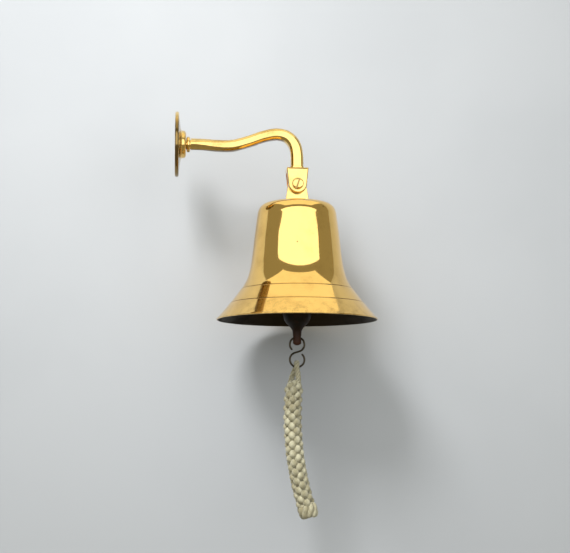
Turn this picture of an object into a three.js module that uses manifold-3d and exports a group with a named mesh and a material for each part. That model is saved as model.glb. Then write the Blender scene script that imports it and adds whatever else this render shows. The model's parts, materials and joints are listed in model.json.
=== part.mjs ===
// A ship's bell on a wall bracket. A brass arm screws into a round wall plate and ends in a fork.
// The bell's lug hangs in the fork on a slotted screw. An iron clapper hangs inside the bell,
// and a wire hook on its tail carries a plaited cotton lanyard.
//
// Millimetres. The origin is the centre of the wall plate's back face, +X points away from the
// wall and +Z points up. Each hanging piece is built in a group whose origin is its own pivot.

import * as THREE from "three";
import { mergeVertices } from "three/addons/utils/BufferGeometryUtils.js";
import Module from "manifold-3d";

const wasm = await Module();
wasm.setup();

// ---- Driving dimensions ----------------------------------------------------------------------

const GAP = 0.3; // air between pieces that rest on or pass through one another
const FAR = 40; // a cutter's reach beyond what it cuts

// Wall plate and collar, turned about the X axis
const PLATE_R = 20.4;
const PLATE_THICK = 2.3;
const BOSS_R = 8.6;
const BOSS_END = 6.8;
const SPIGOT_R = 3;
const SPIGOT_START = 1.6;
const WALL_SCREWS = 3;
const WALL_SCREW_PCD_R = 14.6;
const WALL_SCREW_HOLE_R = 2.2;
const WALL_SCREW_SINK_R = 3.9;
const WALL_SCREW_SINK_DEPTH = 1.8;
const COLLAR_R = 5.2;
const COLLAR_LENGTH = 2.3;

// Swan-necked arm: places on its middle line, x and z, with the bar's depth there
const ARM_STATIONS = [
  [9.8, 0.35, 7.2],
  [18, 0.1, 7],
  [27, -0.5, 6.9],
  [36, -0.2, 6.9],
  [46, 2.6, 6.8],
  [55, 5.9, 6.9],
  [63.4, 7.6, 7],
  [70.2, 6.1, 7.2],
  [74.6, 1.4, 7.5],
  [76.2, -5.2, 7.7],
  [76.4, -14.8, 7.8],
];
const ARM_WIDTH = 7.6;
const ARM_BEVEL = 1.5;
const ARM_STEPS = 32;

// Fork and pivot
const PIVOT = new THREE.Vector3(76.4, 0, -24.9);
const FORK_TOP = 10.5; // above the pivot
const FORK_TOP_HALF = 6.9;
const FORK_END_R = 5.8;
const FORK_WIDTH = 12.4;
const FORK_BEVEL = 1.1;
const SLOT_WIDTH = 5.4;
const SLOT_TOP = 7.6; // above the pivot
const PIVOT_R = 2;
const SCREW_HEAD_R = 3.6;
const SCREW_HEAD_HIGH = 2.1;
const SCREW_SLOT_WIDE = 1;
const SCREW_SLOT_DEEP = 0.9;
const SCREW_SLOT_TURN = THREE.MathUtils.degToRad(-18);
const WASHER_R = 4.4;
const WASHER_THICK = 0.8;
const PIVOT_NUT_FLATS = 7;
const PIVOT_NUT_THICK = 3.2;

// Bell, turned about the Z axis: heights are below the crown's top
const CROWN_DROP = 11.4; // pivot to the crown's top
const LUG_TOP_R = 5.6;
const LUG_BASE_HALF = 7.6;
const STEM_R = 3;
const STEM_LENGTH = 12.6;
const LUG_BEVEL = 0.4;
const CROWN_WASHER_R = 7.5;
const CROWN_WASHER_THICK = 1.2;
const CROWN_NUT_FLATS = 10;
const CROWN_NUT_THICK = 5;

// The bell's outside from crown to lip, radius and depth below the crown's top
const BELL_OUTSIDE = [
  [16, 0],
  [19.8, 0.5],
  [22.5, 1.9],
  [24, 4.3],
  [24.7, 7.4],
  [25.3, 10.8],
  [26.2, 17.5],
  [26.9, 24.5],
  [27.6, 31.5],
  [28.6, 38.5],
  [30.1, 45],
  [31.9, 49.8],
  [34.7, 54.2],
  [35.2, 54.6],
  [38.1, 58.6],
  [41.5, 63],
  [42, 63.4],
  [44.9, 67],
  [47.5, 70.1],
  [49.2, 72.1],
  [50, 73],
];

// Its inside from the lip back up to the crown
const BELL_INSIDE = [
  [49.4, 73.4],
  [48.4, 73.2],
  [43.5, 68.6],
  [38.5, 63],
  [34.7, 58],
  [31.5, 53],
  [28.6, 47],
  [26.4, 40],
  [25, 32],
  [23.9, 22],
  [23, 13],
  [21.8, 7.2],
  [19.2, 4.4],
  [15.5, 3.2],
];
const CROWN_THICK = 3.2;

// Clapper and its staple
const STAPLE_PIN_R = 1.5;
const STAPLE_PIN_DEPTH = 6; // how far the pin goes up into the lug's stem
const LINK_R = 3.6; // middle line of each eye
const LINK_WIRE_R = 1.3;
const LINK_SLACK = 0.65;
const EYE_DROP = 33; // pivot to the hinge point where the two eyes hang together
const CLAPPER_ROD_R = 2.2;
const BALL_R = 9;
const BALL_DROP = 46.6; // hinge point to the ball's widest place
const TAIL_R = 2.6;
const TAIL_END = 67.4;
const HOOK_HOLE_DROP = 62.7;
const HOOK_HOLE_R = 1.45;

// Hook: two loops of wire in one plane
const HOOK_WIRE_R = 0.62;
const HOOK_LOOP_R = 4.5;
const HOOK_FREE_END = THREE.MathUtils.degToRad(230); // where the upper loop's wire starts
const HOOK_LAST_END = THREE.MathUtils.degToRad(412); // where the lower loop's wire stops
const HOOK_DROP = 66.8; // clapper's hinge point to the upper loop's centre
const LOOP_PITCH = 9.4;

// Lanyard: its route starts where the plait starts and is given from the lower loop's centre
const LANYARD_LEAN = THREE.MathUtils.degToRad(6.7);
const CORD_R = 1.7;
const EYE_LEG = 2.75;
const EYE_TOP = 1.88; // lower loop's centre to the cord that passes over the wire
const ROPE_R = 5.9;
const KNOT_R = 6.3;
const KNOT_LONG = 7.5;
const ROPE_ROUTE = [
  [-1.6, 0, -13.3],
  [-2.1, 0, -18.4],
  [-2.5, 0, -23.5],
  [-2.7, 0, -28.6],
  [-2.8, 0, -33.7],
  [-2.8, 0, -38.8],
  [-2.6, 0, -43.9],
  [-2.2, 0, -48.9],
  [-1.8, 0, -54],
  [-1.2, 0, -59.1],
  [-0.4, 0, -64.1],
  [0.5, 0, -69.2],
  [1.5, 0, -74.1],
  [2.7, 0, -79.1],
  [4, 0, -84],
  [5.5, 0, -88.9],
];

// ---- Finishes --------------------------------------------------------------------------------

const brass = { color: 0xc9a24a, roughness: 0.12, metalness: 1 };
const dullBrass = { color: 0x8f7436, roughness: 0.4, metalness: 1 };
const iron = { color: 0x2c2624, roughness: 0.6, metalness: 0.8 };
const wire = { color: 0x33312c, roughness: 0.45, metalness: 0.9 };
const cotton = { color: 0xd6d0b0, roughness: 0.95, metalness: 0 };

// ---- Geometry helpers ------------------------------------------------------------------------

function solidOf(geometry) {
  const bare = geometry.index ? geometry.toNonIndexed() : geometry.clone();
  bare.deleteAttribute("normal");
  bare.deleteAttribute("uv");
  const merged = mergeVertices(bare, 1e-3);
  const vertProperties = merged.attributes.position.array;
  const triVerts = new Uint32Array(merged.index.array);
  return new wasm.Manifold(new wasm.Mesh({ numProp: 3, vertProperties, triVerts }));
}

function geometryOf(solid) {
  const { vertProperties, triVerts } = solid.getMesh();
  const geometry = new THREE.BufferGeometry();
  geometry.setAttribute("position", new THREE.BufferAttribute(vertProperties, 3));
  geometry.setIndex(new THREE.BufferAttribute(triVerts, 1));
  return geometry;
}

// Joins the first lot of geometries and cuts the second lot away.
function cutAndJoin(joined, cut = []) {
  let solid = solidOf(joined[0]);
  for (const geometry of joined.slice(1)) solid = solid.add(solidOf(geometry));
  for (const geometry of cut) solid = solid.subtract(solidOf(geometry));
  return geometryOf(solid);
}

// A solid of revolution about Z from [radius, height] pairs that climb its outside.
function turned(profile, segments = 48) {
  const points = profile.map(([radius, height]) => new THREE.Vector2(radius, height));
  return new THREE.LatheGeometry(points, segments).rotateX(Math.PI / 2);
}

// The same about X and about Y: heights then run along +X or +Y.
const turnedX = (profile, segments) => turned(profile, segments).rotateY(Math.PI / 2);
const turnedY = (profile, segments) => turned(profile, segments).rotateX(-Math.PI / 2);

// A round bar along Z from low to high.
function rod(radius, low, high, segments = 32) {
  const bar = new THREE.CylinderGeometry(radius, radius, high - low, segments);
  return bar.rotateX(Math.PI / 2).translate(0, 0, (low + high) / 2);
}

const rodX = (radius, low, high, segments) => rod(radius, low, high, segments).rotateY(Math.PI / 2);
const rodY = (radius, low, high, segments) => rod(radius, low, high, segments).rotateX(-Math.PI / 2);

// A hexagon nut about Z, with its bore.
function nut(flats, boreR, low, high) {
  const cornerR = flats / Math.sqrt(3);
  return cutAndJoin([rod(cornerR, low, high, 6)], [rod(boreR, low - 1, high + 1)]);
}

// An outline in the X-Z plane made into a plate centred on Y, with its edges bevelled.
function plateXZ(shape, width, bevel, curveSegments = 16) {
  const plate = new THREE.ExtrudeGeometry(shape, {
    depth: width - 2 * bevel,
    bevelEnabled: bevel > 0,
    bevelThickness: bevel,
    bevelSize: bevel,
    bevelOffset: -bevel,
    bevelSegments: 2,
    curveSegments,
  });
  return plate.translate(0, 0, bevel - width / 2).rotateX(Math.PI / 2);
}

// A round cord or wire swept along a curve.
function swept(curve, radius, sides, steps) {
  const section = new THREE.Shape();
  for (let i = 0; i < sides; i++) {
    const turn = (2 * Math.PI * (i + 0.5)) / sides;
    const x = radius * Math.cos(turn);
    const y = radius * Math.sin(turn);
    if (i === 0) section.moveTo(x, y);
    else section.lineTo(x, y);
  }
  return new THREE.ExtrudeGeometry(section, { steps, extrudePath: curve, bevelEnabled: false });
}

function addPart(group, name, geometry, finish) {
  const mesh = new THREE.Mesh(geometry, new THREE.MeshStandardMaterial(finish));
  mesh.name = name;
  group.add(mesh);
}

// ---- Wall plate and collar -------------------------------------------------------------------

function wallPlate() {
  const blank = turnedX(
    [
      [0, 0],
      [PLATE_R - 0.5, 0],
      [PLATE_R, 0.5],
      [PLATE_R, PLATE_THICK - 1],
      [PLATE_R - 0.9, PLATE_THICK],
      [BOSS_R + 3.6, PLATE_THICK + 0.8],
      [BOSS_R + 0.7, PLATE_THICK + 1.5],
      [BOSS_R, PLATE_THICK + 2.2],
      [BOSS_R - 0.1, BOSS_END - 1.1],
      [BOSS_R - 0.9, BOSS_END - 0.3],
      [BOSS_R - 2, BOSS_END],
      [SPIGOT_R + GAP, BOSS_END],
      [SPIGOT_R + GAP, SPIGOT_START - GAP],
      [0, SPIGOT_START - GAP],
    ],
    44,
  );
  const cutters = [];
  const front = PLATE_THICK + 0.9;
  const sinkFloor = front - WALL_SCREW_SINK_DEPTH;
  for (let i = 0; i < WALL_SCREWS; i++) {
    const turn = Math.PI / 2 + (i * 2 * Math.PI) / WALL_SCREWS;
    const y = WALL_SCREW_PCD_R * Math.cos(turn);
    const z = WALL_SCREW_PCD_R * Math.sin(turn);
    const sink = turnedX(
      [
        [0, sinkFloor],
        [WALL_SCREW_HOLE_R, sinkFloor],
        [WALL_SCREW_SINK_R, front],
        [WALL_SCREW_SINK_R, front + 2],
        [0, front + 2],
      ],
      20,
    );
    cutters.push(sink.translate(0, y, z));
    cutters.push(rodX(WALL_SCREW_HOLE_R, -1, front, 20).translate(0, y, z));
  }
  return cutAndJoin([blank], cutters);
}

const COLLAR_START = BOSS_END + GAP;
const COLLAR_END = COLLAR_START + COLLAR_LENGTH;

function armCollar() {
  const inner = SPIGOT_R + GAP;
  return turnedX(
    [
      [inner, COLLAR_START],
      [COLLAR_R - 0.9, COLLAR_START],
      [COLLAR_R - 0.3, COLLAR_START + 0.3],
      [COLLAR_R, COLLAR_START + 0.9],
      [COLLAR_R, COLLAR_END - 0.9],
      [COLLAR_R - 0.3, COLLAR_END - 0.3],
      [COLLAR_R - 0.9, COLLAR_END],
      [inner, COLLAR_END],
      [inner, COLLAR_START],
    ],
    32,
  );
}

// ---- Arm with its fork -----------------------------------------------------------------------

function armOutline() {
  const middle = new THREE.SplineCurve(ARM_STATIONS.map(([x, z]) => new THREE.Vector2(x, z)));
  const upper = [];
  const lower = [];
  for (let i = 0; i <= ARM_STEPS; i++) {
    const along = i / ARM_STEPS;
    const station = along * (ARM_STATIONS.length - 1);
    const before = Math.min(Math.floor(station), ARM_STATIONS.length - 2);
    const [depthBefore, depthAfter] = [ARM_STATIONS[before][2], ARM_STATIONS[before + 1][2]];
    const half = THREE.MathUtils.lerp(depthBefore, depthAfter, station - before) / 2;
    const point = middle.getPoint(along);
    const tangent = middle.getTangent(along);
    const across = new THREE.Vector2(-tangent.y, tangent.x).multiplyScalar(half);
    upper.push(point.clone().add(across));
    lower.push(point.clone().sub(across));
  }
  return new THREE.Shape([...lower, ...upper.reverse()]);
}

// The fork's side view about the pivot: a flat top and straight sides that run into a round end.
function forkOutline() {
  const cornerTurn = Math.atan2(FORK_TOP, FORK_TOP_HALF);
  const cornerReach = Math.hypot(FORK_TOP, FORK_TOP_HALF);
  const tangentTurn = cornerTurn - Math.acos(FORK_END_R / cornerReach);
  const shape = new THREE.Shape();
  shape.moveTo(FORK_TOP_HALF, FORK_TOP);
  shape.lineTo(-FORK_TOP_HALF, FORK_TOP);
  shape.absarc(0, 0, FORK_END_R, Math.PI - tangentTurn, 2 * Math.PI + tangentTurn, false);
  shape.closePath();
  return shape;
}

function bracketArm() {
  const bar = plateXZ(armOutline(), ARM_WIDTH, ARM_BEVEL);
  const fork = plateXZ(forkOutline(), FORK_WIDTH, FORK_BEVEL).translate(PIVOT.x, 0, PIVOT.z);
  const spigot = rodX(SPIGOT_R, SPIGOT_START, ARM_STATIONS[1][0], 28);
  const slotHigh = SLOT_TOP + FORK_END_R + 1;
  const slot = new THREE.BoxGeometry(FAR, SLOT_WIDTH, slotHigh);
  slot.translate(PIVOT.x, 0, PIVOT.z + SLOT_TOP - slotHigh / 2);
  const bore = rodY(PIVOT_R + GAP, -FAR, FAR, 28).translate(PIVOT.x, 0, PIVOT.z);
  return cutAndJoin([bar, fork, spigot], [slot, bore]);
}

// ---- Pivot screw, washer and nut, about the pivot --------------------------------------------

const FORK_FACE = FORK_WIDTH / 2;
const WASHER_START = FORK_FACE + GAP;
const NUT_START = WASHER_START + WASHER_THICK + GAP;
const NUT_END = NUT_START + PIVOT_NUT_THICK;

function pivotScrew() {
  const seat = -FORK_FACE - GAP;
  const face = seat - SCREW_HEAD_HIGH;
  const blank = turnedY(
    [
      [0, face],
      [SCREW_HEAD_R - 1.3, face],
      [SCREW_HEAD_R - 0.5, face + 0.35],
      [SCREW_HEAD_R, face + 1],
      [SCREW_HEAD_R, seat],
      [PIVOT_R, seat],
      [PIVOT_R, NUT_END + 0.6],
      [PIVOT_R - 0.4, NUT_END + 1],
      [0, NUT_END + 1],
    ],
    32,
  );
  const slot = new THREE.BoxGeometry(SCREW_SLOT_WIDE, 2 * SCREW_SLOT_DEEP, 3 * SCREW_HEAD_R);
  slot.rotateY(-SCREW_SLOT_TURN).translate(0, face, 0);
  return cutAndJoin([blank], [slot]);
}

function pivotWasher() {
  const disc = rodY(WASHER_R, WASHER_START, WASHER_START + WASHER_THICK, 28);
  return cutAndJoin([disc], [rodY(PIVOT_R + GAP, 0, FAR, 28)]);
}

function pivotNut() {
  return nut(PIVOT_NUT_FLATS, PIVOT_R + GAP, NUT_START, NUT_END).rotateX(-Math.PI / 2);
}

// ---- Bell, lug and the fixings in its crown, about the pivot ---------------------------------

const CROWN_TOP = -CROWN_DROP;

function bellBody() {
  const hole = STEM_R + GAP;
  const outside = BELL_OUTSIDE.map(([radius, depth]) => [radius, CROWN_TOP - depth]);
  const inside = BELL_INSIDE.map(([radius, depth]) => [radius, CROWN_TOP - depth]);
  const crownRing = [hole, CROWN_TOP];
  const profile = [crownRing, ...outside, ...inside, [hole, CROWN_TOP - CROWN_THICK], crownRing];
  return turned(profile.reverse(), 40);
}

function crownLug() {
  const base = CROWN_TOP + GAP;
  const reach = Math.hypot(LUG_BASE_HALF, base);
  const tangentTurn = Math.atan2(base, LUG_BASE_HALF) + Math.acos(LUG_TOP_R / reach);
  const shape = new THREE.Shape();
  shape.moveTo(-LUG_BASE_HALF, base);
  shape.lineTo(LUG_BASE_HALF, base);
  shape.absarc(0, 0, LUG_TOP_R, tangentTurn, Math.PI - tangentTurn, false);
  shape.closePath();
  const plate = plateXZ(shape, SLOT_WIDTH - 2 * GAP, LUG_BEVEL);
  const stemEnd = CROWN_TOP - STEM_LENGTH;
  const stem = rod(STEM_R, stemEnd, base + 1);
  const pivotBore = rodY(PIVOT_R + GAP, -FAR, FAR, 28);
  const stapleBore = rod(STAPLE_PIN_R + GAP, stemEnd - 1, stemEnd + STAPLE_PIN_DEPTH, 24);
  return cutAndJoin([plate, stem], [pivotBore, stapleBore]);
}

const CROWN_WASHER_TOP = CROWN_TOP - CROWN_THICK - GAP;
const CROWN_NUT_TOP = CROWN_WASHER_TOP - CROWN_WASHER_THICK - GAP;

function crownWasher() {
  const low = CROWN_WASHER_TOP - CROWN_WASHER_THICK;
  return cutAndJoin([rod(CROWN_WASHER_R, low, CROWN_WASHER_TOP, 40)], [rod(STEM_R + GAP, low - 1, 0)]);
}

function crownNut() {
  return nut(CROWN_NUT_FLATS, STEM_R + GAP, CROWN_NUT_TOP - CROWN_NUT_THICK, CROWN_NUT_TOP);
}

// The staple's eye stands across the bell's pivot so that the clapper swings in the same plane.
function clapperStaple() {
  const stemEnd = CROWN_TOP - STEM_LENGTH;
  const eyeCentre = -EYE_DROP + LINK_R;
  const eye = new THREE.TorusGeometry(LINK_R, LINK_WIRE_R, 10, 24).rotateY(Math.PI / 2);
  const pin = rod(STAPLE_PIN_R, eyeCentre + LINK_R, stemEnd + STAPLE_PIN_DEPTH - GAP, 20);
  return cutAndJoin([eye.translate(0, 0, eyeCentre), pin]);
}

// ---- Clapper, about the point where it hangs -------------------------------------------------

function clapper() {
  const eyeCentre = -LINK_SLACK;
  const eye = new THREE.TorusGeometry(LINK_R, LINK_WIRE_R, 10, 24).rotateX(Math.PI / 2);
  const rodTop = eyeCentre - LINK_R;
  const body = turned(
    [
      [0, -TAIL_END],
      [TAIL_R - 1, -TAIL_END],
      [TAIL_R - 0.3, -TAIL_END + 1.2],
      [TAIL_R, -HOOK_HOLE_DROP - 1],
      [TAIL_R + 0.2, -BALL_DROP - 12.6],
      [TAIL_R + 0.9, -BALL_DROP - 10.6],
      [TAIL_R + 2.6, -BALL_DROP - 8.6],
      [BALL_R - 1.5, -BALL_DROP - 6],
      [BALL_R - 0.4, -BALL_DROP - 3],
      [BALL_R, -BALL_DROP],
      [BALL_R - 0.7, -BALL_DROP + 3.2],
      [BALL_R - 2.8, -BALL_DROP + 6],
      [CLAPPER_ROD_R + 1.3, -BALL_DROP + 9],
      [CLAPPER_ROD_R, -BALL_DROP + 13],
      [CLAPPER_ROD_R, rodTop],
      [0, rodTop],
    ],
    30,
  );
  const hole = rodX(HOOK_HOLE_R, -FAR, FAR, 20).translate(0, 0, -HOOK_HOLE_DROP);
  return cutAndJoin([body, eye.translate(0, 0, eyeCentre)], [hole]);
}

// ---- Hook, about its upper loop's centre -----------------------------------------------------

// Upper loop clockwise from its free end, across to the left of the lower loop, and round that.
function lanyardHook() {
  const points = [];
  const crossing = Math.acos((2 * HOOK_LOOP_R) / LOOP_PITCH);
  const upperTo = crossing - Math.PI / 2;
  const lowerFrom = crossing + Math.PI / 2;
  const steps = 20;
  for (let i = 0; i <= steps; i++) {
    const turn = THREE.MathUtils.lerp(HOOK_FREE_END, upperTo, i / steps);
    points.push(new THREE.Vector3(Math.cos(turn), 0, Math.sin(turn)).multiplyScalar(HOOK_LOOP_R));
  }
  for (let i = 0; i <= steps; i++) {
    const turn = THREE.MathUtils.lerp(lowerFrom, HOOK_LAST_END, i / steps);
    const point = new THREE.Vector3(Math.cos(turn), 0, Math.sin(turn));
    point.multiplyScalar(HOOK_LOOP_R).z -= LOOP_PITCH;
    points.push(point);
  }
  return swept(new THREE.CatmullRomCurve3(points), HOOK_WIRE_R, 8, 48);
}

// ---- Lanyard, about the lower loop's centre --------------------------------------------------

const ROUTE = ROPE_ROUTE.map((point) => new THREE.Vector3(...point));

// The cord's bight goes over the hook's wire, and its two legs run down to the plait.
function lanyardEye() {
  const legEnd = -Math.hypot(ROPE_ROUTE[0][0], ROPE_ROUTE[0][2]) + GAP;
  const arcCentre = -EYE_TOP - EYE_LEG;
  const points = [new THREE.Vector3(0, -EYE_LEG, legEnd)];
  const steps = 10;
  for (let i = 0; i <= steps; i++) {
    const turn = Math.PI * (1 - i / steps);
    points.push(new THREE.Vector3(0, EYE_LEG * Math.cos(turn), arcCentre + EYE_LEG * Math.sin(turn)));
  }
  points.push(new THREE.Vector3(0, EYE_LEG, legEnd));
  return swept(new THREE.CatmullRomCurve3(points), CORD_R, 10, 24).rotateY(LANYARD_LEAN);
}

function lanyardRope() {
  return swept(new THREE.CatmullRomCurve3(ROUTE), ROPE_R, 12, 10);
}

function lanyardEndKnot() {
  const [before, end] = ROUTE.slice(-2);
  const heading = end.clone().sub(before).normalize();
  const knot = turned(
    [
      [0, 0],
      [KNOT_R - 1.2, 0],
      [KNOT_R, 1.4],
      [KNOT_R, KNOT_LONG - 2.6],
      [KNOT_R - 1.4, KNOT_LONG - 0.6],
      [KNOT_R - 3.4, KNOT_LONG],
      [0, KNOT_LONG],
    ],
    24,
  );
  const start = end.clone().addScaledVector(heading, GAP);
  return knot.rotateY(Math.atan2(heading.x, heading.z)).translate(...start);
}

// ---- Assembly --------------------------------------------------------------------------------

const bracket = new THREE.Group();
addPart(bracket, "wall_plate", wallPlate(), brass);
addPart(bracket, "arm_collar", armCollar(), brass);
addPart(bracket, "bracket_arm", bracketArm(), brass);

const pivot = new THREE.Group();
pivot.position.copy(PIVOT);
addPart(pivot, "pivot_screw", pivotScrew(), brass);
addPart(pivot, "pivot_washer", pivotWasher(), brass);
addPart(pivot, "pivot_nut", pivotNut(), brass);
addPart(pivot, "crown_lug", crownLug(), brass);
addPart(pivot, "bell_body", bellBody(), brass);
addPart(pivot, "crown_washer", crownWasher(), dullBrass);
addPart(pivot, "crown_nut", crownNut(), dullBrass);
addPart(pivot, "clapper_staple", clapperStaple(), iron);

const clapperPivot = new THREE.Group();
clapperPivot.position.set(0, 0, -EYE_DROP);
pivot.add(clapperPivot);
addPart(clapperPivot, "clapper", clapper(), iron);

const upperLoop = new THREE.Group();
upperLoop.position.set(0, 0, -HOOK_DROP);
clapperPivot.add(upperLoop);
addPart(upperLoop, "lanyard_hook", lanyardHook(), wire);

const lowerLoop = new THREE.Group();
lowerLoop.position.set(0, 0, -LOOP_PITCH);
upperLoop.add(lowerLoop);
addPart(lowerLoop, "lanyard_eye", lanyardEye(), cotton);
addPart(lowerLoop, "lanyard_rope", lanyardRope(), cotton);
addPart(lowerLoop, "lanyard_end_knot", lanyardEndKnot(), cotton);

const shipBell = new THREE.Group();
shipBell.add(bracket, pivot);

export default shipBell;
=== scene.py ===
# %% [markdown]
# # A brass ship's bell on its wall bracket
#
# The real thing is a small bell of polished brass. Its lug hangs on a screw in the fork of a
# swan-necked arm, and the arm grows out of a round wall plate. An iron clapper hangs inside the
# bell, and a wire hook on the clapper's tail carries a lanyard of plaited cotton.
#
# The finished model gives every size, every pivot and the place of each part. This lesson leaves
# all of that alone. It makes the fine surfaces that the eye sees: turned brass without flats,
# a bar with filed corners, a plait of real strands, and a finish for each of them.
#
# Everything is in metres. The origin is the middle of the wall plate's back, +X points away from
# the wall, +Z points up, and the bell's pivot runs along Y.

import json
import math
import random

import bmesh
import bpy
import numpy as np
from mathutils import Matrix, Vector


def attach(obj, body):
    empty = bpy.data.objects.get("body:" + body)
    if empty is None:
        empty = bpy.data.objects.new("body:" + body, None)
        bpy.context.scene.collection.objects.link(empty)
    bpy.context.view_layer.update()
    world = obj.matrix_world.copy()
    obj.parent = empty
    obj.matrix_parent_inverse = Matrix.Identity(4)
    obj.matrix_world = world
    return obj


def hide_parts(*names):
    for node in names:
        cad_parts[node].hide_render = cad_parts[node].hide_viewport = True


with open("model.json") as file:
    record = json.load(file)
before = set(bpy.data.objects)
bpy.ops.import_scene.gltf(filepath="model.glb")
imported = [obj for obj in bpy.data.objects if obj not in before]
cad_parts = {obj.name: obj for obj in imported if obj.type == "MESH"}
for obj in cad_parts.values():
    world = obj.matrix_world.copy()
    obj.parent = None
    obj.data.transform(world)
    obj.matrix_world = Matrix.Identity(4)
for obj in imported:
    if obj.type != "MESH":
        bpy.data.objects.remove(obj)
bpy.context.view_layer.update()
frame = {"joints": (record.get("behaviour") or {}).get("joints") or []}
joints = {joint["name"]: joint for joint in frame["joints"]}
PIVOT = Vector(joints["bell_swing"]["pos_m"])
CLAPPER_HINGE = Vector(joints["clapper_swing"]["pos_m"])
UPPER_LOOP = Vector(joints["hook_swing"]["pos_m"])
LOWER_LOOP = Vector(joints["lanyard_swing"]["pos_m"])
MM = 0.001

# %% [markdown]
# ## Where we stand
#
# A person who lies the bell on its side to look at it stands square to the swan neck, a little
# below the bell's lip, so the mouth shows as a thin dark ellipse. The camera stands there: 0.72 m
# off and 7 degrees below, in the plane of the wall plate, so that the plate shows only its edge
# and the pivot's nut peeps out behind the fork.

# %% The camera
VIEW_TARGET = Vector((0.0689, 0, -0.0825))
VIEW_DISTANCE = 0.72
VIEW_BELOW = math.radians(7)
VIEW_ASIDE = math.radians(5)

camera = bpy.data.objects.new("camera", bpy.data.cameras.new("camera"))
bpy.context.scene.collection.objects.link(camera)
bpy.context.scene.camera = camera
to_camera = Vector((
    -math.sin(VIEW_ASIDE) * math.cos(VIEW_BELOW),
    -math.cos(VIEW_ASIDE) * math.cos(VIEW_BELOW),
    -math.sin(VIEW_BELOW),
))
camera.location = VIEW_TARGET + VIEW_DISTANCE * to_camera
camera.rotation_euler = (-to_camera).to_track_quat("-Z", "Y").to_euler()
camera.data.sensor_width = 36
camera.data.lens = 73.2
print("the camera stands at", [round(v, 3) for v in camera.location])

# %% [markdown]
# ## The lanyard's line
#
# The lanyard is short and stiff: a plait as thick as a finger keeps the gentle curve it was
# tightened into. It hangs on the hook's lower loop with its weight straight below, so it starts
# a little to one side and comes back under the loop. Its points are given from that loop.

# %% The route, in millimetres from the hook's lower loop
ROPE_ROUTE = [
    (-1.6, 0, -13.3),
    (-2.1, 0, -18.4),
    (-2.5, 0, -23.5),
    (-2.7, 0, -28.6),
    (-2.8, 0, -33.7),
    (-2.8, 0, -38.8),
    (-2.6, 0, -43.9),
    (-2.2, 0, -48.9),
    (-1.8, 0, -54),
    (-1.2, 0, -59.1),
    (-0.4, 0, -64.1),
    (0.5, 0, -69.2),
    (1.5, 0, -74.1),
    (2.7, 0, -79.1),
    (4, 0, -84),
    (5.5, 0, -88.9),
]
ROPE_RADIUS = 5.9 * MM
rope_line = [LOWER_LOOP + MM * Vector(point) for point in ROPE_ROUTE]
rope_length = sum((b - a).length for a, b in zip(rope_line, rope_line[1:]))
print(f"the plait is {rope_length:.4f} m long and {2 * ROPE_RADIUS:.4f} m thick")

# %% [markdown]
# ## Tools for pieces that follow a line
#
# The plait, the eye, the hook and the arm are all made the same way: a section is carried along
# a line. The line is first smoothed through its given points and spaced evenly. Then a pair of
# side directions is carried along it without twisting, so a section can be laid down at each step.

# %% Smooth a line and carry side directions along it
def smoothed(points, count):
    """An even Catmull-Rom line of count points through the given points."""
    p = np.array([tuple(q) for q in points], float)
    p = np.vstack([2 * p[0] - p[1], p, 2 * p[-1] - p[-2]])
    t = np.linspace(0, 1, 24, endpoint=False)[:, None]
    parts = []
    for a, b, c, d in zip(p, p[1:], p[2:], p[3:]):
        parts.append(b + 0.5 * t * (c - a + t * (2 * a - 5 * b + 4 * c - d + t * (3 * (b - c) + d - a))))
    line = np.vstack(parts + [p[-2][None]])
    along = np.concatenate([[0], np.cumsum(np.linalg.norm(np.diff(line, axis=0), axis=1))])
    even = np.linspace(0, along[-1], count)
    return np.stack([np.interp(even, along, line[:, k]) for k in range(3)], axis=1)


def side_directions(line, first_side):
    """Tangent and two side directions at each point of a line, carried without twist."""
    tangent = np.gradient(line, axis=0)
    tangent /= np.linalg.norm(tangent, axis=1)[:, None]
    side = np.array(first_side, float)
    sides = []
    for t in tangent:
        side = side - t * (side @ t)
        side /= np.linalg.norm(side)
        sides.append(side)
    sides = np.array(sides)
    return tangent, sides, np.cross(tangent, sides)


# %% [markdown]
# A mesh is a list of points and a list of faces. Every swept piece is a grid: rings of points, one
# ring for each step along the line. The ends are closed with a face, so the piece is a solid body.
# The grid also gets a flat map, round and along, which the cord's finish uses to lay its yarns.

# %% Turn rings of points into a closed piece
def new_piece(name, points, faces, smooth=True):
    mesh = bpy.data.meshes.new(name)
    mesh.from_pydata([tuple(p) for p in points], [], faces)
    mesh.validate()
    if smooth:
        mesh.shade_smooth()
    piece = bpy.data.objects.new(name, mesh)
    bpy.context.scene.collection.objects.link(piece)
    return piece


def ring_faces(rings, sides, first=0, close_ends=True):
    """Faces over rings of sides points each, numbered from first."""
    faces = []
    for i in range(rings - 1):
        for j in range(sides):
            a, b = first + i * sides + j, first + i * sides + (j + 1) % sides
            faces.append((a, b, b + sides, a + sides))
    if close_ends:
        faces.append(tuple(first + j for j in reversed(range(sides))))
        faces.append(tuple(first + (rings - 1) * sides + j for j in range(sides)))
    return faces


def tube_points(line, first_side, radius, sides, flatten=1.0):
    """Rings round a line. radius may change along it, and flatten thins the second side."""
    tangent, side, other = side_directions(line, first_side)
    turn = np.linspace(0, 2 * math.pi, sides, endpoint=False)
    reach = np.broadcast_to(np.asarray(radius, float), (len(line),))[:, None, None]
    across = np.cos(turn)[None, :, None] * side[:, None]
    across = across + flatten * np.sin(turn)[None, :, None] * other[:, None]
    return (line[:, None] + reach * across).reshape(-1, 3)


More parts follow.
